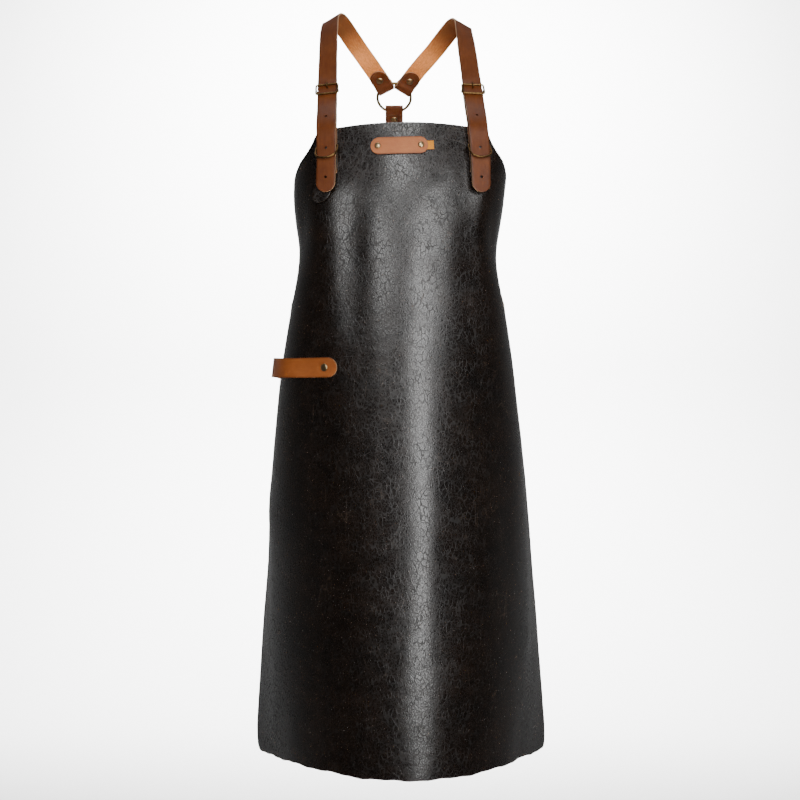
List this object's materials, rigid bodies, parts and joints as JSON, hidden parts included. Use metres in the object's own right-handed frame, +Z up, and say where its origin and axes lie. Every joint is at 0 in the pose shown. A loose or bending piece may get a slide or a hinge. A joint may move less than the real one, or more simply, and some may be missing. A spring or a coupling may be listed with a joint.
{
  "type": "leather work apron",
  "caption": "Full-length leather work apron with a bib, crossed shoulder straps joined at a ring on the back, buckles and a towel loop, shaped as worn.",
  "frame": {"origin": "midway between the two shoulder straps, at the height of the top of the shoulders", "axes": "+Z up, the apron's front faces -Y, and +X points to the right of someone who looks at the front"},
  "size_m": [0.4085, 0.2836, 1.0263],
  "materials": {
    "panel_leather": "dark waxed grain, softly glossy",
    "strap_leather": "vegetable-tanned grain, satin",
    "patch_leather": "pale reddish-brown grain, satin",
    "label_cloth": "woven, matt",
    "bronze_wire": "antique, satin",
    "rivet_brass": "antique, satin"
  },
  "bodies": {
    "root": {"apron_panel": "panel_leather", "shoulder_strap_left": "strap_leather", "shoulder_strap_right": "strap_leather", "buckle_strap_left": "strap_leather", "buckle_strap_right": "strap_leather", "back_strap": "strap_leather", "waist_strap": "strap_leather", "towel_loop": "strap_leather", "name_patch": "patch_leather", "label_tab": "label_cloth", "dee_tab_left": "panel_leather", "dee_tab_right": "panel_leather", "buckle_left": "bronze_wire", "buckle_right": "bronze_wire", "buckle_prong_left": "bronze_wire", "buckle_prong_right": "bronze_wire", "dee_ring_left": "bronze_wire", "dee_ring_right": "bronze_wire", "back_ring": "bronze_wire", "fold_rivet_left": "rivet_brass", "fold_rivet_right": "rivet_brass", "fold_rivet_lower": "rivet_brass", "dee_rivet_left": "rivet_brass", "dee_rivet_right": "rivet_brass", "waist_rivet_left": "rivet_brass", "waist_rivet_right": "rivet_brass", "back_strap_rivet": "rivet_brass", "patch_rivet_left": "rivet_brass", "patch_rivet_right": "rivet_brass", "towel_rivet_front": "rivet_brass", "towel_rivet_rear": "rivet_brass"}
  },
  "joints": []
}
